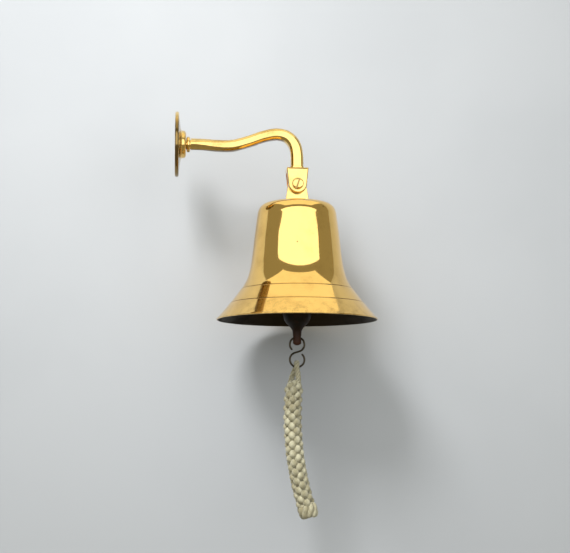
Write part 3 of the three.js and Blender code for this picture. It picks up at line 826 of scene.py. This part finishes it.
clapper_line = smoothed(
    [
        (TAIL_R, -TAIL_END + 1.6, 0),
        (TAIL_R, -63.7, 0),
        (TAIL_R + 0.2, -59.2, 0),
        (TAIL_R + 0.9, -57.2, 0),
        (TAIL_R + 2.6, -55.2, 0),
        (BALL_R - 1.5, -52.6, 0),
        (BALL_R - 0.4, -49.6, 0),
        (BALL_R, -BALL_DROP, 0),
        (BALL_R - 0.7, -43.4, 0),
        (BALL_R - 2.8, -40.6, 0),
        (ROD_R + 1.3, -37.6, 0),
        (ROD_R, -33.6, 0),
        (ROD_R, -EYE_SLACK - EYE_R, 0),
    ],
    140,
)
tail_tip = curve_between((0, -TAIL_END), (1.3, 0), (TAIL_R, -TAIL_END + 1.6), (0, 0.7), 10)
clapper_outline = tail_tip + [(p[0], p[1]) for p in clapper_line] + [(0, -EYE_SLACK - EYE_R)]
iron_clapper = turned("iron_clapper", clapper_outline, "Z", CLAPPER_HINGE, 96)
eye_centre = CLAPPER_HINGE - Vector((0, 0, EYE_SLACK * MM))
clapper_eye = wire_ring("clapper_eye", eye_centre, EYE_R * MM, EYE_WIRE_R * MM, (0, 0, 1), (0, 1, 0))
tail_hole = rod("tail_hole", 1.45, -8, 8, "X", CLAPPER_HINGE - Vector((0, 0, 62.7 * MM)), 0.1, 40)
combine(iron_clapper, joined=[clapper_eye], cut=[tail_hole])
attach(iron_clapper, "clapper")
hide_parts("clapper")
print("clapper", len(iron_clapper.data.polygons), "faces")

# %% [markdown]
# ## The wire hook
#
# One length of wire is bent into two loops, like a figure eight that doesn't quite close. The
# upper loop goes through the clapper's tail. The lower one is left open near the crossing, so
# that the lanyard can be slipped on.

# %% Bend the wire
WIRE_R = 0.62 * MM
LOOP_R = 4.5 * MM
LOOP_PITCH = (UPPER_LOOP - LOWER_LOOP).length
crossing = math.acos(2 * LOOP_R / LOOP_PITCH)
bends = []
for a in np.linspace(math.radians(230), crossing - math.pi / 2, 24):
    bends.append(UPPER_LOOP + LOOP_R * Vector((math.cos(a), 0, math.sin(a))))
for a in np.linspace(crossing + math.pi / 2, math.radians(412), 24):
    bends.append(LOWER_LOOP + LOOP_R * Vector((math.cos(a), 0, math.sin(a))))
wire_line = smoothed(bends, 240)
end_taper = np.minimum(np.arange(240), np.arange(240)[::-1]) / 4.0
wire_thick = WIRE_R * np.sqrt(np.clip(1 - (1 - np.clip(end_taper, 0.05, 1)) ** 2, 0.05, 1))
wire_hook = new_piece("wire_hook", tube_points(wire_line, (0, 1, 0), wire_thick, 16), ring_faces(240, 16))
face_outwards(wire_hook, 60)
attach(wire_hook, "hook")
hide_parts("lanyard_hook")
print("hook", len(wire_hook.data.polygons), "faces")

# %% [markdown]
# ## Small tools for building materials
#
# A material is a little chain of nodes. `node` puts one node into a tree, sets its options and
# fills its inputs, with plain values or with links from other nodes' outputs. `effect` starts a
# shader node group, which holds an effect that several materials use with their own numbers.

# %% Helpers for nodes, groups and materials
def node(tree, kind, options=None, **inputs):
    """Adds a node. An input is named by its label, with spaces as underscores, or i0, i1 ..."""
    made = tree.nodes.new(kind)
    for name, value in (options or {}).items():
        setattr(made, name, value)
    for name, value in inputs.items():
        by_number = name[0] == "i" and name[1:].isdigit()
        socket = made.inputs[int(name[1:])] if by_number else made.inputs[name.replace("_", " ")]
        if isinstance(value, bpy.types.NodeSocket):
            tree.links.new(value, socket)
        else:
            socket.default_value = value
    return made


def sums(tree, operation, *values):
    """A Math node's result."""
    inputs = {f"i{i}": value for i, value in enumerate(values)}
    return node(tree, "ShaderNodeMath", {"operation": operation}, **inputs).outputs[0]


def ranged(tree, value, low, high, to_low=0.0, to_high=1.0, smooth=True):
    """Maps low..high of a value to to_low..to_high and stops at both ends."""
    kind = "SMOOTHSTEP" if smooth else "LINEAR"
    made = node(tree, "ShaderNodeMapRange", {"interpolation_type": kind, "clamp": True}, Value=value)
    for name, number in (("From Min", low), ("From Max", high), ("To Min", to_low), ("To Max", to_high)):
        made.inputs[name].default_value = number
    return made.outputs["Result"]


def blended(tree, factor, first, second):
    """Goes from the first colour to the second by a factor."""
    made = node(tree, "ShaderNodeMix", {"data_type": "RGBA"}, Factor=factor)
    for socket, value in ((made.inputs[6], first), (made.inputs[7], second)):
        if isinstance(value, bpy.types.NodeSocket):
            tree.links.new(value, socket)
        else:
            socket.default_value = value
    return made.outputs[2]


def effect(name, inputs, outputs):
    """A shader node group with named inputs and outputs; returns it with its two end nodes."""
    group = bpy.data.node_groups.new(name, "ShaderNodeTree")
    for label, kind, value in inputs:
        socket = group.interface.new_socket(label, in_out="INPUT", socket_type=kind)
        socket.default_value = value
    for label, kind in outputs:
        group.interface.new_socket(label, in_out="OUTPUT", socket_type=kind)
    return group, group.nodes.new("NodeGroupInput").outputs, group.nodes.new("NodeGroupOutput").inputs


def use(tree, group, **inputs):
    """Places a node group in a material, with the material's own values."""
    return node(tree, "ShaderNodeGroup", {"node_tree": group}, **inputs).outputs


def material(name):
    """A new material; returns it with its tree and its Principled shader."""
    made = bpy.data.materials.new(name)
    made.use_nodes = True
    return made, made.node_tree, made.node_tree.nodes["Principled BSDF"]


FLOAT = "NodeSocketFloat"

# %% [markdown]
# ## Effects that the metals share
#
# *Handling* is the cloudy film that fingers and air leave on metal: a soft blotchy mask.
# *Fine marks* are the short polishing scratches, much longer one way than the other, that
# change the gloss a little and catch the light. *Pits* are small casting holes that polish
# can't reach, and each has a dark floor and a soft stain round it.

# %% Three groups: handling, fine marks, pits
handling, given, result = effect(
    "Handling",
    [("Size", FLOAT, 60.0), ("Amount", FLOAT, 0.5), ("Detail", FLOAT, 6.0)],
    [("Mask", FLOAT), ("Gloss Loss", FLOAT)],
)
place = node(handling, "ShaderNodeTexCoord").outputs["Object"]
clouds = node(
    handling, "ShaderNodeTexNoise", Vector=place, Scale=given["Size"], Detail=given["Detail"], Roughness=0.62
)
mask = ranged(handling, clouds.outputs["Fac"], 0.45, 0.72)
fine = node(handling, "ShaderNodeTexNoise", Vector=place, Scale=900.0, Detail=3.0)
grain = ranged(handling, fine.outputs["Fac"], 0.35, 0.65, 0.6, 1.0)
grained = sums(handling, "MULTIPLY", mask, grain)
handling.links.new(sums(handling, "MULTIPLY", grained, given["Amount"]), result["Mask"])
handling.links.new(sums(handling, "MULTIPLY", mask, given["Amount"]), result["Gloss Loss"])

fine_marks, given, result = effect(
    "Fine marks",
    [("Along", FLOAT, 40.0), ("Across", FLOAT, 1600.0), ("Depth", FLOAT, 1.0)],
    [("Height", FLOAT), ("Gloss Loss", FLOAT)],
)
place = node(fine_marks, "ShaderNodeTexCoord").outputs["Object"]
stretch = node(fine_marks, "ShaderNodeCombineXYZ", X=given["Along"], Y=given["Along"], Z=given["Across"])
drawn = node(fine_marks, "ShaderNodeVectorMath", {"operation": "MULTIPLY"}, i0=place, i1=stretch.outputs[0])
marks = node(fine_marks, "ShaderNodeTexNoise", Vector=drawn.outputs[0], Scale=1.0, Detail=4.0, Roughness=0.7)
sheen = ranged(fine_marks, marks.outputs["Fac"], 0.4, 0.7)
fine_marks.links.new(sums(fine_marks, "MULTIPLY", marks.outputs["Fac"], given["Depth"]), result["Height"])
fine_marks.links.new(sheen, result["Gloss Loss"])

pits, given, result = effect(
    "Pits",
    [("Closeness", FLOAT, 150.0), ("Few", FLOAT, 0.8), ("Wide", FLOAT, 0.09)],
    [("Floor", FLOAT), ("Stain", FLOAT)],
)
place = node(pits, "ShaderNodeTexCoord").outputs["Object"]
cells = node(pits, "ShaderNodeTexVoronoi", Vector=place, Scale=given["Closeness"], Randomness=1.0)
lot = node(pits, "ShaderNodeSeparateColor", Color=cells.outputs["Color"]).outputs[0]
chosen = sums(pits, "GREATER_THAN", lot, given["Few"])
near = sums(pits, "SUBTRACT", 1.0, sums(pits, "DIVIDE", cells.outputs["Distance"], given["Wide"]))
stain_wide = sums(pits, "MULTIPLY", given["Wide"], 3.0)
stain = sums(pits, "SUBTRACT", 1.0, sums(pits, "DIVIDE", cells.outputs["Distance"], stain_wide))
pits.links.new(sums(pits, "MULTIPLY", chosen, ranged(pits, near, 0.0, 0.35)), result["Floor"])
pits.links.new(sums(pits, "MULTIPLY", chosen, ranged(pits, stain, 0.0, 1.0)), result["Stain"])
print("effects:", [group.name for group in bpy.data.node_groups])

# %% [markdown]
# ## The metals
#
# Polished brass is nearly a mirror, and warm yellow. The bell was turned, so its fine marks run
# round it; the bracket was filed and buffed along its length. Inside the bell the brass is left
# unpolished and is coloured near black, which is tarnish and painted shade. The washer and nut in
# the crown are dull. The clapper is old cast iron, near black with a little rust at the tail, and
# the hook is dark wire. Brown painted shade is laid in the bell's turned lines, on the bracket's
# downward faces and low on the wall plate.

# %% Brass, iron and wire
BRASS = (0.92, 0.60, 0.19, 1)
CAST_BRASS = (0.92, 0.64, 0.22, 1)
BRASS_TARNISHED = (0.40, 0.22, 0.06, 1)
PIT_FLOOR = (0.05, 0.03, 0.01, 1)
# Brown laid by the masks: painted shade in the bell's turned lines, under the bracket and low on the plate,
# and stains near the lip.
BROWN_SHADE_AND_TARNISH = (0.13, 0.08, 0.03, 1)


def shade_painted_underneath(tree):
    """Where a surface faces down: painted shade, laid as brown on the bracket's downward faces."""
    facing = node(tree, "ShaderNodeSeparateXYZ", Vector=node(tree, "ShaderNodeTexCoord").outputs["Normal"])
    return ranged(tree, facing.outputs["Z"], -0.78, -0.95, 0.0, 0.9)


def groove_shade_and_lip_stains(tree):
    """Painted shade in the two turned lines, and real stains in blotches near the lip."""
    place = node(tree, "ShaderNodeSeparateXYZ", Vector=node(tree, "ShaderNodeTexCoord").outputs["Object"])
    depth = sums(tree, "SUBTRACT", PIVOT.z + CROWN_TOP * MM, place.outputs["Z"])
    lines = []
    for line_depth in LINE_DEPTHS:
        off = sums(tree, "ABSOLUTE", sums(tree, "SUBTRACT", depth, line_depth * MM))
        lines.append(ranged(tree, off, 0.12 * MM, 0.45 * MM, 0.5, 0.0))
    blotches = use(tree, handling, Size=230.0, Amount=1.0)["Mask"]
    near_lip = ranged(tree, depth, 0.060, 0.073, 0.0, 0.5)
    return sums(tree, "MAXIMUM", sums(tree, "MAXIMUM", *lines), sums(tree, "MULTIPLY", blotches, near_lip))


def plate_shade_painted_low(tree):
    """Painted shade on the plate round the boss: brown low down, none at its top."""
    place = node(tree, "ShaderNodeSeparateXYZ", Vector=node(tree, "ShaderNodeTexCoord").outputs["Object"])
    thin = ranged(tree, place.outputs["X"], 0.0031, 0.0038, 1.0, 0.0)
    low = ranged(tree, place.outputs["Z"], 0.008, 0.018, 0.82, 0.0)
    return sums(tree, "MULTIPLY", thin, low)


def brass(name, base, aged, gloss, marks_along, marks_across, film, pitted=True, brown=None):
    """A brass of its own gloss, film and marks; brown is a mask where brown is laid: painted shade, and real
    stains near the bell's lip.
    """
    made, tree, shader = material(name)
    cloud = use(tree, handling, Size=55.0, Amount=film)
    marks = use(tree, fine_marks, Along=marks_along, Across=marks_across, Depth=1.0)
    colour = blended(tree, cloud["Mask"], base, aged)
    height = marks["Height"]
    if pitted:
        holes = use(tree, pits, Closeness=120.0, Few=0.82, Wide=0.05)
        colour = blended(tree, sums(tree, "MULTIPLY", holes["Stain"], 0.35), colour, aged)
        colour = blended(tree, holes["Floor"], colour, PIT_FLOOR)
        height = sums(tree, "SUBTRACT", height, sums(tree, "MULTIPLY", holes["Floor"], 6.0))
    if brown:
        colour = blended(tree, brown(tree), colour, BROWN_SHADE_AND_TARNISH)
    low, high = gloss
    dull = sums(tree, "ADD", cloud["Gloss Loss"], sums(tree, "MULTIPLY", marks["Gloss Loss"], 0.4))
    spread = sums(tree, "MULTIPLY", dull, high - low)
    tree.links.new(colour, shader.inputs["Base Color"])
    tree.links.new(sums(tree, "ADD", spread, low), shader.inputs["Roughness"])
    bump = node(tree, "ShaderNodeBump", Height=height, Strength=0.12, Distance=0.00003)
    tree.links.new(bump.outputs["Normal"], shader.inputs["Normal"])
    shader.inputs["Metallic"].default_value = 1.0
    return made


# Near-black colours inside the bell: tarnish and painted shade.
INSIDE_BROWN = (0.030, 0.020, 0.009, 1)
INSIDE_DARK = (0.014, 0.011, 0.007, 1)
DULL_YELLOW = (0.45, 0.29, 0.10, 1)
DULL_BROWN = (0.16, 0.09, 0.035, 1)
bell_brass = brass(
    "bell brass", BRASS, BRASS_TARNISHED, (0.05, 0.16), 30.0, 1500.0, 0.42, brown=groove_shade_and_lip_stains
)
bracket_brass = brass(
    "bracket brass", CAST_BRASS, BRASS_TARNISHED, (0.07, 0.22), 700.0, 700.0, 0.5, brown=shade_painted_underneath
)
plate_brass = brass(
    "plate brass", CAST_BRASS, BRASS_TARNISHED, (0.10, 0.28), 700.0, 700.0, 0.45, brown=plate_shade_painted_low
)
inside_tarnish_and_shade = brass("bell inside tarnish and shade", INSIDE_BROWN, INSIDE_DARK, (0.42, 0.7), 60.0, 900.0, 0.9, False)
dull_brass = brass("dull brass", DULL_YELLOW, DULL_BROWN, (0.35, 0.6), 300.0, 300.0, 0.8, False)

iron, tree, shader = material("cast iron")
shader.inputs["Specular IOR Level"].default_value = 0.1
cloud = use(tree, handling, Size=160.0, Amount=0.9)
place = node(tree, "ShaderNodeTexCoord").outputs["Object"]
cast_bumps = node(tree, "ShaderNodeTexNoise", Vector=place, Scale=700.0, Detail=4.0)
skin = blended(tree, cloud["Mask"], (0.012, 0.009, 0.006, 1), (0.045, 0.018, 0.009, 1))
place = node(tree, "ShaderNodeSeparateXYZ", Vector=node(tree, "ShaderNodeTexCoord").outputs["Object"])
tail = ranged(tree, place.outputs["Z"], CLAPPER_HINGE.z - TAIL_END * MM, CLAPPER_HINGE.z - 54 * MM, 0.75, 0.0)
tree.links.new(blended(tree, tail, skin, (0.075, 0.028, 0.014, 1)), shader.inputs["Base Color"])
tree.links.new(ranged(tree, cloud["Gloss Loss"], 0.0, 1.0, 0.38, 0.65), shader.inputs["Roughness"])
bump = node(tree, "ShaderNodeBump", Height=cast_bumps.outputs["Fac"], Strength=0.35, Distance=0.0002)
tree.links.new(bump.outputs["Normal"], shader.inputs["Normal"])
shader.inputs["Metallic"].default_value = 0.0

wire, tree, shader = material("hook wire")
cloud = use(tree, handling, Size=300.0, Amount=0.8)
marks = use(tree, fine_marks, Along=500.0, Across=500.0, Depth=1.0)
wire_tone = blended(tree, cloud["Mask"], (0.05, 0.04, 0.025, 1), (0.022, 0.017, 0.011, 1))
tree.links.new(wire_tone, shader.inputs["Base Color"])
tree.links.new(ranged(tree, cloud["Gloss Loss"], 0.0, 1.0, 0.28, 0.5), shader.inputs["Roughness"])
bump = node(tree, "ShaderNodeBump", Height=marks["Height"], Strength=0.15, Distance=0.00005)
tree.links.new(bump.outputs["Normal"], shader.inputs["Normal"])
shader.inputs["Metallic"].default_value = 0.9

# %% [markdown]
# ## Cotton cord
#
# Each strand of the plait is itself spun from fine yarns, which run at a slant along it. The
# pieces carry a map whose first number runs round the strand, and the second runs along it, so
# that slanting stripes on this map are the yarns. Soft blotches of brown are years of hands.

# %% Cotton
cotton, tree, shader = material("cotton cord")
strand_map = node(tree, "ShaderNodeUVMap", {"uv_map": "along"}).outputs[0]
laid = node(tree, "ShaderNodeSeparateXYZ", Vector=strand_map)
round_part = sums(tree, "MULTIPLY", laid.outputs["X"], 2.0)
along_part = sums(tree, "MULTIPLY", laid.outputs["Y"], 7.0)
slant = sums(tree, "ADD", round_part, along_part)
wave = sums(tree, "SINE", sums(tree, "MULTIPLY", slant, 2 * math.pi))
yarns = sums(tree, "ADD", sums(tree, "MULTIPLY", wave, 0.5), 0.5)
place = node(tree, "ShaderNodeTexCoord").outputs["Object"]
fuzz = node(tree, "ShaderNodeTexNoise", Vector=place, Scale=2500.0, Detail=4.0)
cloud = use(tree, handling, Size=70.0, Amount=0.75)
clean = blended(tree, yarns, (0.33, 0.30, 0.19, 1), (0.53, 0.50, 0.35, 1))
tree.links.new(blended(tree, cloud["Mask"], clean, (0.30, 0.25, 0.14, 1)), shader.inputs["Base Color"])
pile = sums(tree, "ADD", yarns, sums(tree, "MULTIPLY", fuzz.outputs["Fac"], 1.2))
bump = node(tree, "ShaderNodeBump", Height=pile, Strength=0.85, Distance=0.0003)
tree.links.new(bump.outputs["Normal"], shader.inputs["Normal"])
shader.inputs["Roughness"].default_value = 0.93
shader.inputs["Sheen Weight"].default_value = 0.25

# %% Give every piece its material
finishes = {
    bell_brass: [brass_bell],
    plate_brass: [wall_disc],
    bracket_brass: [bracket_bar, collar_bead, slotted_screw, screw_washer, screw_nut, hanging_lug],
    dull_brass: [inner_washer, inner_nut],
    iron: [staple_eye, iron_clapper],
    wire: [wire_hook],
    cotton: [lanyard_plait, lanyard_bight, lanyard_knot],
}
for finish, pieces in finishes.items():
    for piece in pieces:
        piece.data.materials.clear()
        piece.data.materials.append(finish)

# The faces that look inwards and the lip's downward faces take the near-black inside finish: tarnish and
# painted shade.
brass_bell.data.materials.append(inside_tarnish_and_shade)
inner_faces = 0
for face in brass_bell.data.polygons:
    out_from_axis = Vector((face.center.x - PIVOT.x, face.center.y, 0))
    if face.normal.dot(out_from_axis) < 0 or face.normal.z < -0.75 and out_from_axis.length < 0.0485:
        face.material_index = 1
        inner_faces += 1
print("the bell has", inner_faces, "faces that look inwards")

# The slot's faces take the darker dull brass: painted shade in the slot.
slotted_screw.data.materials.append(dull_brass)
slot_along = Vector((math.sin(SLOT_SLANT), 0, math.cos(SLOT_SLANT)))
for face in slotted_screw.data.polygons:
    from_axis = Vector(face.center) - PIVOT
    from_middle = (from_axis - from_axis.dot(slot_along) * slot_along) * Vector((1, 0, 1))
    in_slot = from_middle.length < 0.55 * MM and -8.3 * MM < from_axis.y < -7.2 * MM
    face.material_index = 1 if in_slot and from_axis.length > MM else 0

# %% [markdown]
# ## A pale surface and soft studio light
#
# The pale surface behind is one-sided: from behind it lets everything through, so that
# the bell's back can be looked at too.
#
# Polished brass has no look of its own, it only shows what is round it. Large soft boxes give it
# broad calm areas of light with clear borders: one wide box straight ahead, a smaller warm one
# above, and a small key light up to the left for the shadows. All else is a dim, even surround.
# The lights stand still, so the reflections are right from every side.

# %% The pale surface
SURFACE_Y = 0.0535
SURFACE_HALF = 0.42
SURFACE_TOP = 0.30
SURFACE_LOW = -0.50
corners = (
    (PIVOT.x - SURFACE_HALF, SURFACE_LOW),
    (PIVOT.x + SURFACE_HALF, SURFACE_LOW),
    (PIVOT.x + SURFACE_HALF, SURFACE_TOP),
    (PIVOT.x - SURFACE_HALF, SURFACE_TOP),
)
surface = new_piece("pale_surface", [(x, SURFACE_Y, z) for x, z in corners], [(0, 1, 2, 3)])
pale, tree, shader = material("pale surface")
place = node(tree, "ShaderNodeTexCoord").outputs["Object"]
broad = node(tree, "ShaderNodeTexNoise", Vector=place, Scale=9.0, Detail=3.0)
patches = ranged(tree, broad.outputs["Fac"], 0.3, 0.7)
tint = blended(tree, patches, (0.42, 0.435, 0.455, 1), (0.44, 0.455, 0.475, 1))
tree.links.new(tint, shader.inputs["Base Color"])
shader.inputs["Roughness"].default_value = 0.8
behind = node(tree, "ShaderNodeNewGeometry").outputs["Backfacing"]
clear = node(tree, "ShaderNodeBsdfTransparent").outputs[0]
both = node(tree, "ShaderNodeMixShader", Fac=behind, i1=shader.outputs[0], i2=clear)
tree.links.new(both.outputs[0], tree.nodes["Material Output"].inputs["Surface"])
surface.data.materials.append(pale)

# %% An even surround, and three soft lights
world = bpy.data.worlds.new("studio")
bpy.context.scene.world = world
world.use_nodes = True
tree = world.node_tree
tree.nodes.clear()
straight = node(tree, "ShaderNodeSeparateXYZ", Vector=node(tree, "ShaderNodeTexCoord").outputs["Generated"])
upwards = ranged(tree, straight.outputs["Z"], -0.6, 0.1)
surround = blended(tree, upwards, (0.26, 0.24, 0.18, 1), (0.32, 0.31, 0.24, 1))
looked_at = node(tree, "ShaderNodeLightPath").outputs["Is Camera Ray"]
seen = blended(tree, looked_at, surround, (0.58, 0.61, 0.66, 1))
glow = node(tree, "ShaderNodeBackground", Color=seen, Strength=1.0)
tree.links.new(glow.outputs[0], node(tree, "ShaderNodeOutputWorld").inputs["Surface"])


def soft_box(name, width, height, place, aim, watts, colour, in_gloss=True):
    """A soft box: a flat light with a width and a height in metres, turned to face a point."""
    lamp = bpy.data.objects.new(name, bpy.data.lights.new(name, "AREA"))
    lamp.data.shape = "RECTANGLE"
    lamp.data.size, lamp.data.size_y = width, height
    lamp.data.energy = watts
    lamp.data.color = colour
    lamp.location = place
    lamp.rotation_euler = (Vector(aim) - Vector(place)).to_track_quat("-Z", "Y").to_euler()
    lamp.visible_glossy = in_gloss
    bpy.context.scene.collection.objects.link(lamp)
    return lamp


soft_box("front box", 3.0, 0.94, (0.0, -1.05, 0.20), (0.0, 0.0, 0.20), 15.0, (0.90, 0.94, 1.0))
soft_box("top box", 1.7, 1.3, (0.07, -0.25, 0.95), (0.07, -0.25, 0.0), 6.0, (1.0, 0.95, 0.82))
WHITE = (1.0, 1.0, 1.0)
key = soft_box("key", 0.24, 0.24, (-0.20, -0.47, 0.40), (0.03, 0.0, 0.02), 1.75, WHITE, in_gloss=False)
key.data.spread = math.radians(100)
bpy.context.scene.view_settings.view_transform = "Standard"
